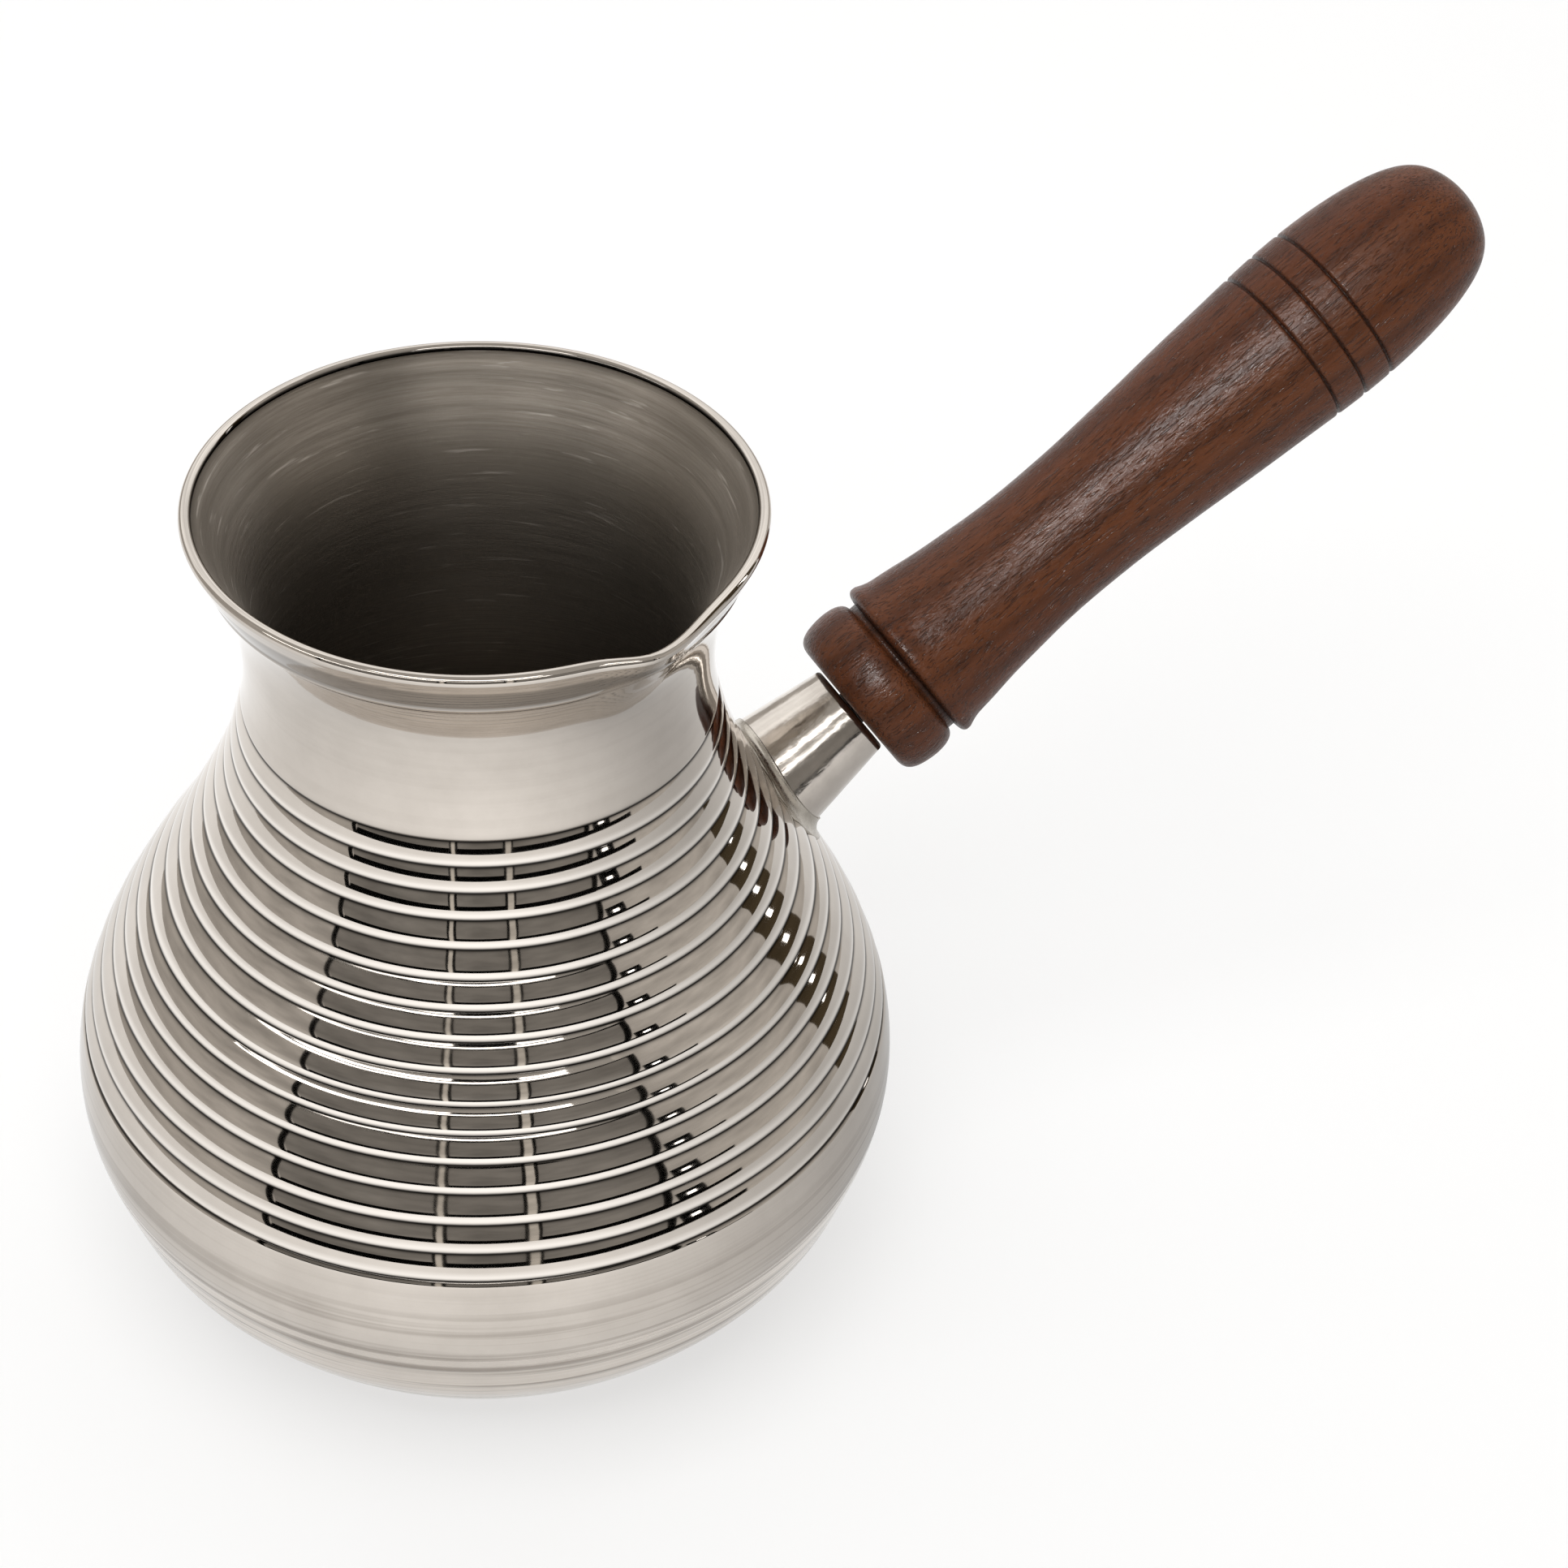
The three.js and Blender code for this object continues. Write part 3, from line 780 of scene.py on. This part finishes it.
def varnished_walnut(finishes, handle):
    """Walnut, turned and oil-varnished: dark red-brown heartwood under a thin, satin film.

    The grain runs along the handle. The eye gets growth layers about 3 mm apart that wander, streaks,
    and open pores 0.25 mm wide and 3 mm long, which are dark and break the sheen into specks.
    """
    m = new_material("walnut, turned and varnished")
    place = add(m, "TexCoord").outputs["Object"]
    grain = add(m, "Mapping", {
        "Vector": place, "Location": (0, 0, handle.root_height), "Rotation": (0, -handle.rise, 0)},
        vector_type="TEXTURE")
    stretched = add(m, "Mapping", {"Vector": grain, "Scale": (0.09, 1.0, 1.0)})
    drawn_out = add(m, "Mapping", {"Vector": grain, "Scale": (0.05, 1.0, 1.0)})

    layers = add(m, "TexWave", {
        "Vector": stretched, "Scale": 0.31 / (3.0 * MM), "Distortion": 7.0, "Detail": 3.0,
        "Detail Scale": 0.35, "Detail Roughness": 0.6}, wave_type="BANDS", bands_direction="DIAGONAL")
    streaks = add(m, "TexNoise", {
        "Vector": drawn_out, "Scale": 1 / (1.1 * MM), "Detail": 4.0, "Roughness": 0.65})
    clouds = add(m, "TexNoise", {"Vector": stretched, "Scale": 1 / (9 * MM), "Detail": 3.0})
    pores = add(m, "TexNoise", {
        "Vector": stretched, "Scale": 1 / (0.26 * MM), "Detail": 1.5, "Roughness": 0.5})
    short = add(m, "Mapping", {"Vector": grain, "Scale": (0.35, 1.0, 1.0)})
    fleck = add(m, "TexNoise", {"Vector": short, "Scale": 1 / (0.45 * MM), "Detail": 3.0, "Roughness": 0.7})

    ground = add(m, "MapRange", {0: clouds, 1: 0.3, 2: 0.7, 3: 0.15, 4: 0.85})
    wood = add(m, "Mix", {0: ground, 6: finishes.walnut_mid, 7: finishes.walnut_light}, data_type="RGBA")
    late = add(m, "MapRange", {0: layers.outputs[1], 1: 0.45, 2: 1.0, 3: 0.0, 4: 0.3})
    banded = add(m, "Mix", {0: late, 6: wood, 7: finishes.walnut_dark}, data_type="RGBA")
    streak = add(m, "MapRange", {0: streaks, 1: 0.48, 2: 0.75, 3: 0.0, 4: 0.4})
    streaked = add(m, "Mix", {0: streak, 6: banded, 7: finishes.walnut_dark}, data_type="RGBA")
    pore = add(m, "MapRange", {0: pores, 1: 0.56, 2: 0.66, 3: 0.0, 4: 0.5})
    pored = add(m, "Mix", {0: pore, 6: streaked, 7: finishes.walnut_dark}, data_type="RGBA")
    # Burn and painted shade: the scored rings and the gap between bead and body are mixed towards the dark
    # walnut.
    burn_and_crevice_shade = add(m, "Attribute", attribute_name="burn_and_crevice_shade")
    in_ring = add(m, "Math", {0: burn_and_crevice_shade.outputs["Fac"], 1: 0.9}, operation="MULTIPLY", use_clamp=True)
    scored = add(m, "Mix", {0: in_ring, 6: pored, 7: finishes.walnut_dark}, data_type="RGBA")
    rough = add(m, "MapRange", {0: fleck, 1: 0.35, 2: 0.65, 3: 0.2, 4: 0.4})
    relief = add(m, "Math", {0: pore, 1: -1.6, 2: fleck}, operation="MULTIPLY_ADD")
    bump = add(m, "Bump", {"Height": relief, "Strength": 1.0, "Distance": 0.11 * MM})
    shader = add(m, "BsdfPrincipled", {
        "Base Color": scored, "IOR": 1.5, "Specular IOR Level": 0.16, "Roughness": rough, "Normal": bump})
    add(m, "OutputMaterial", {"Surface": shader})
    return m


def pale_floor():
    """Matt white painted board, lit from all round, so it glows a little and holds only a soft shadow."""
    m = new_material("painted board, matt")
    place = add(m, "TexCoord").outputs["Object"]
    grit = add(m, "TexNoise", {"Vector": place, "Scale": 1 / (2 * MM), "Detail": 2.0})
    rough = add(m, "MapRange", {0: grit, 3: 0.85, 4: 1.0})
    shader = add(m, "BsdfPrincipled", {
        "Base Color": "#A5A5A5", "Specular IOR Level": 0.0, "Roughness": rough,
        "Emission Color": "#FFFFFF", "Emission Strength": 0.6})
    add(m, "OutputMaterial", {"Surface": shader})
    return m


def lit_card(name, hex_code, strength):
    """A card that sends out a light of its own, a little uneven over patches of 0.25 m."""
    m = new_material(name)
    place = add(m, "TexCoord").outputs["Object"]
    patches = add(m, "TexNoise", {"Vector": place, "Scale": 4.0, "Detail": 3.0})
    uneven = add(m, "MapRange", {0: patches, 1: 0.3, 2: 0.7, 3: 0.75 * strength, 4: 1.2 * strength})
    glow = add(m, "Emission", {"Color": hex_code, "Strength": uneven})
    add(m, "OutputMaterial", {"Surface": glow})
    return m


# ---- the studio ------------------------------------------

def stage_mesh(name, points, faces, material, seen):
    """Part of the stage. One that isn't seen is there only for the metal's reflections."""
    mesh = bpy.data.meshes.new(name)
    mesh.from_pydata(points.reshape(-1, 3).tolist(), [], faces)
    mesh.materials.append(material)
    part = bpy.data.objects.new(name, mesh)
    bpy.context.scene.collection.objects.link(part)
    part.visible_camera = seen
    part.visible_shadow = seen
    return part


def ring_card(studio, name, turns, heights, material, nearness=1.0, climb=0.0, lean=0.0):
    """Part of an upright cylinder around the pot, between two directions and two angles of height.

    Directions are degrees from the camera's side, to the right as the camera sees it. The card's angles
    rise evenly by the climb from its left end to its right one, and its upper edge is wider than its
    lower one by the lean, as a share. Its distance is the wall distance times its nearness.
    """
    count = 33
    far = studio.wall_distance * nearness
    wider = np.array([[1.0], [1.0 + lean]])
    turn = studio.front + np.radians(np.linspace(turns[0], turns[1], count) * wider)
    angle_up = np.radians(np.array(heights)[:, None] + np.linspace(0, climb, count))
    high = np.maximum(studio.card_middle + far * np.tan(angle_up), 0.0)
    points = np.stack([far * np.cos(turn), far * np.sin(turn), high], axis=-1)
    one = np.arange(count - 1)
    faces = np.stack([one, one + 1, one + 1 + count, one + count], axis=1).tolist()
    stage_mesh(name, points, faces, material, seen=False)


def toward(studio, turn, height, distance):
    """A place in the studio from a direction and an angle of height in degrees, and a distance."""
    across = studio.front + math.radians(turn)
    up = math.radians(height)
    return Vector((distance * math.cos(up) * math.cos(across), distance * math.cos(up) * math.sin(across),
                   distance * math.sin(up) + studio.card_middle))


def area_lamp(name, place, along, size, power):
    """A flat lamp at a place, its long side along a direction, facing the pot."""
    data = bpy.data.lights.new(name, "AREA")
    data.shape = "RECTANGLE"
    data.size, data.size_y = size
    data.energy = power
    lamp = bpy.data.objects.new(name, data)
    back = (place - Vector((0, 0, 0.06))).normalized()
    side = (along - back * along.dot(back)).normalized()
    up = back.cross(side)
    turned = Matrix((side, up, back)).transposed().to_4x4()
    turned.translation = place
    lamp.matrix_world = turned
    bpy.context.scene.collection.objects.link(lamp)
    lamp.visible_camera = False
    return lamp


def build_camera(studio):
    """Looks along yaw and pitch, then rolls about the line of sight."""
    yaw, pitch, roll = studio.camera_yaw, studio.camera_pitch, studio.camera_roll
    ahead = Vector((math.sin(yaw) * math.cos(pitch), math.cos(yaw) * math.cos(pitch), -math.sin(pitch)))
    right = ahead.cross(Vector((0, 0, 1))).normalized()
    down = ahead.cross(right)
    right, down = (right * math.cos(roll) + down * math.sin(roll),
                   down * math.cos(roll) - right * math.sin(roll))
    data = bpy.data.cameras.new("camera")
    data.lens = studio.lens
    data.sensor_width = 36.0
    data.clip_start, data.clip_end = 0.01, 20.0
    camera = bpy.data.objects.new("camera", data)
    placed = Matrix((right, -down, -ahead)).transposed().to_4x4()
    placed.translation = Vector(studio.camera_place)
    camera.matrix_world = placed
    bpy.context.scene.collection.objects.link(camera)
    bpy.context.scene.camera = camera


def build_floor():
    """A wide round of board under the pot."""
    radius, sink, count = 4.0, 0.05 * MM, 96
    turn = turns_around(count)
    points = np.stack([radius * np.cos(turn), radius * np.sin(turn), turn * 0 - sink], axis=-1)
    stage_mesh("floor", points, [list(range(count))], pale_floor(), seen=True)


def build_floor_card(studio):
    """A ring of card on the floor that only the metal's reflections see, dimmer at the sides.

    Its light is 1.22, less a fifth close to the pot, less the sine squared of the direction times 0.58 on
    the right and 0.2 on the left.
    """
    around = 96
    turn = turns_around(around)
    far = np.array([[60.0, 70, 80, 95, 115, 140, 180, 240, 320, 450, 700, 1500]]) * MM
    place = turn + studio.front
    points = np.stack([far * np.cos(place), far * np.sin(place), 0.2 * MM + place * far * 0], axis=-1)
    dim = np.where(np.sin(turn) > 0, 0.58, 0.2) * np.sin(turn) ** 2
    light = (1.22 - dim) * (1 - 0.22 * np.exp(-(far - far[0, 0]) / (70 * MM)))
    width = far.size
    row, column = np.arange(around)[:, None] * width, np.arange(width - 1)[None, :]
    after = (row + width) % (around * width)
    faces = np.stack([row + column, row + column + 1, after + column + 1, after + column], axis=-1)
    m = new_material("floor card")
    glow = add(m, "Attribute", attribute_name="light")
    shader = add(m, "Emission", {"Color": "#FFFFFF", "Strength": glow.outputs["Fac"]})
    add(m, "OutputMaterial", {"Surface": shader})
    card = stage_mesh("floor_card", points, faces.reshape(-1, 4).tolist(), m, seen=False)
    set_attribute(card, "light", light.ravel())
    card.visible_diffuse = False


def build_cards(studio):
    """What the polished metal mirrors: a grey front with a black frame and bright posts, lighter sides.

    Each card's line gives its directions, angles of height, material and nearness, then climb and lean.
    """
    grey = lit_card("grey card", "#8B8884", 1.0)
    black = lit_card("black card", "#040404", 1.0)
    left = lit_card("left card", "#BDB9B4", 1.0)
    right = lit_card("right card", "#C9C5C0", 1.0)
    post = lit_card("bright post", "#D8D3CB", 1.0)
    brown = lit_card("brown card", "#4A4030", 1.0)
    white = lit_card("white card", "#FFFFFF", 1.3)
    lamp = lit_card("lamp card", "#FFFFFF", 5.0)
    behind, near, nearer = 1.02, 0.985, 0.97
    lean, left_climb = 0.12, 8.5
    cards = [
        ("front_card", (-54, 42), (4, 33.5), grey, 1.0, 0.0, lean),
        ("front_skirting", (-54, 42), (-6, 4), black),
        ("front_valance", (-60, 47), (33.5, 35), black),
        ("left_card", (-175, -54), (-4, 43), left, behind),
        ("right_card", (42, 175), (-4, 43), right, behind),
        ("right_skirting", (42, 64), (-3, 2), black, near),
        ("left_edge", (-55.4, -53.4), (-6, 35), black, near, 0.0, lean),
        ("right_edge", (41, 43.4), (-6, 35), black, near, 0.0, lean),
        *((f"post_edge_{number}", (turn - 0.5, turn + 0.5), (3, 34), black, near, 0.0, lean)
          for number, turn in enumerate([-13.8, -11.4, 7.9, 11.1])),
        ("post_0", (-13.3, -11.9), (-4, 34), post, near, 0.0, lean),
        ("post_1", (8.4, 10.6), (-4, 34), post, near, 0.0, lean),
        ("left_lamp_low", (-84, -32), (26.8, 28.6), lamp, nearer, left_climb),
        ("left_lamp_gap", (-84, -32), (28.6, 29.6), black, nearer, left_climb),
        ("left_lamp_high", (-84, -32), (29.6, 31.6), lamp, nearer, left_climb),
        ("front_lamp_low", (-32, 26), (35.3, 37.1), lamp, nearer, 1.0),
        ("front_lamp_gap", (-32, 26), (37.1, 38.1), black, nearer, 1.0),
        ("front_lamp_high", (-32, -13), (38.1, 40.1), lamp, nearer, 0.6),
        ("front_lamp_break", (-13, 10), (38.6, 41.1), black, nearer),
        ("front_lamp_end", (10, 26), (38.9, 40.9), lamp, nearer),
        ("back_card", (120, 240), (18, 62), white),
        ("high_lamp", (-52, 28), (53, 59), lamp, nearer),
        ("lamp_stand", (46, 54), (-3, 14), black, near),
        ("side_stand", (101, 117), (-4, 36), brown, near),
        *((f"spot_{number}", (turn - 1.2, turn + 1.2), heights, lamp, nearer)
          for number, (turn, heights) in enumerate([(50, (5, 9)), (109, (5, 11)), (110, (15, 23))])),
    ]
    for card in cards:
        ring_card(studio, *card)


def build_lamps(studio):
    """One wide soft lamp above, and one that only the wood gets."""
    across = studio.front + math.pi / 2
    right = Vector((math.cos(across), math.sin(across), 0.0))
    soft = area_lamp("soft_lamp", toward(studio, -20, 75, 1.3), Vector((1, 0, 0)), (0.9, 0.9), 7.0)
    soft.visible_glossy = False
    wood = area_lamp("wood_lamp", toward(studio, -16, 51, 1.0), right, (0.12, 0.07), 10.0)
    wood.visible_diffuse = False
    wood.light_linking.receiver_collection = bpy.data.collections.new("lit by the wood lamp")


def build_world():
    """A dim, even room above the cards."""
    world = bpy.data.worlds.new("studio")
    world.use_nodes = True
    background = world.node_tree.nodes["Background"]
    background.inputs["Color"].default_value = linear("#B6B3AF")
    background.inputs["Strength"].default_value = 1.0
    bpy.context.scene.world = world
    bpy.context.scene.view_settings.view_transform = "Standard"


# ---- operators and panel ---------------------------------

class COFFEEPOT_OT_studio(bpy.types.Operator):
    """Builds the floor, the cards, the lamps, the world and the camera"""

    bl_idname = "coffee_pot.studio"
    bl_label = "Studio"

    def execute(self, context):
        studio = context.scene.coffee_pot_studio
        build_camera(studio)
        build_floor()
        build_floor_card(studio)
        build_cards(studio)
        build_lamps(studio)
        build_world()
        return {"FINISHED"}


class COFFEEPOT_OT_pot(bpy.types.Operator):
    """Builds the ribbed shell of the pot with its rounded lip and spout"""

    bl_idname = "coffee_pot.pot"
    bl_label = "Pot shell"

    def execute(self, context):
        finishes = context.scene.coffee_pot_finishes
        piece = build_pot(context.scene.coffee_pot_pot)
        piece.data.materials.append(polished_nickel(finishes))
        piece.data.materials.append(brushed_nickel(finishes))
        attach(piece, BODY)
        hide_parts("pot_body")
        return {"FINISHED"}


class COFFEEPOT_OT_socket(bpy.types.Operator):
    """Builds the tapered socket and the brazed fillet at its foot"""

    bl_idname = "coffee_pot.socket"
    bl_label = "Socket and fillet"

    def execute(self, context):
        scene = context.scene
        finishes, handle, pot = scene.coffee_pot_finishes, scene.coffee_pot_handle, scene.coffee_pot_pot
        tube = build_socket(handle, pot)
        tube.data.materials.append(drawn_nickel(finishes, handle))
        fillet = build_fillet(handle, pot)
        fillet.data.materials.append(dressed_solder(finishes))
        for piece, node, slot in ((tube, "handle_socket", "plated_socket"),
                                  (fillet, "socket_braze_fillet", "braze_metal")):
            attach(piece, BODY)
            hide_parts(node)
        return {"FINISHED"}


class COFFEEPOT_OT_grip(bpy.types.Operator):
    """Builds the turned walnut grip with its bead and scored rings"""

    bl_idname = "coffee_pot.grip"
    bl_label = "Grip"

    def execute(self, context):
        handle = context.scene.coffee_pot_handle
        piece = build_grip(handle)
        piece.data.materials.append(varnished_walnut(context.scene.coffee_pot_finishes, handle))
        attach(piece, BODY)
        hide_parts("handle_grip")
        bpy.data.collections["lit by the wood lamp"].objects.link(piece)
        return {"FINISHED"}


class COFFEEPOT_OT_fixings(bpy.types.Operator):
    """Gives the plug and the stud inside the handle their steel"""

    bl_idname = "coffee_pot.fixings"
    bl_label = "Plug and stud"

    def execute(self, context):
        finishes, handle = context.scene.coffee_pot_finishes, context.scene.coffee_pot_handle
        for node, name, pitch in (("socket_plug", "mild steel, turned", 0.4 * MM),
                                  ("handle_stud", "mild steel, screw-cut", 0.8 * MM)):
            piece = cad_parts[node]
            piece.data.materials.clear()
            piece.data.materials.append(machined_steel(finishes, handle, name, pitch))
        return {"FINISHED"}


class COFFEEPOT_PT_panel(bpy.types.Panel):
    """Lists what the add-on builds"""

    bl_label = "Coffee pot"
    bl_idname = "COFFEEPOT_PT_panel"
    bl_space_type = "VIEW_3D"
    bl_region_type = "UI"
    bl_category = "Coffee pot"

    def draw(self, context):
        for operator in OPERATORS:
            self.layout.operator(operator.bl_idname)
        for group in ("coffee_pot_pot", "coffee_pot_handle", "coffee_pot_finishes", "coffee_pot_studio"):
            settings = getattr(context.scene, group)
            for key in settings.__annotations__:
                self.layout.prop(settings, key)


GROUPS = {
    "coffee_pot_pot": PotSizes,
    "coffee_pot_handle": HandleSizes,
    "coffee_pot_finishes": Finishes,
    "coffee_pot_studio": StudioSizes,
}
OPERATORS = (COFFEEPOT_OT_studio, COFFEEPOT_OT_pot, COFFEEPOT_OT_socket, COFFEEPOT_OT_grip,
             COFFEEPOT_OT_fixings)


def register():
    for group in (*GROUPS.values(), *OPERATORS, COFFEEPOT_PT_panel):
        bpy.utils.register_class(group)
    for name, group in GROUPS.items():
        setattr(bpy.types.Scene, name, PointerProperty(type=group))


def unregister():
    for name in GROUPS:
        delattr(bpy.types.Scene, name)
    for group in reversed((*GROUPS.values(), *OPERATORS, COFFEEPOT_PT_panel)):
        bpy.utils.unregister_class(group)


def main():
    register()
    bpy.ops.coffee_pot.studio()
    bpy.ops.coffee_pot.pot()
    bpy.ops.coffee_pot.socket()
    bpy.ops.coffee_pot.grip()
    bpy.ops.coffee_pot.fixings()


if __name__ == "__main__":
    main()
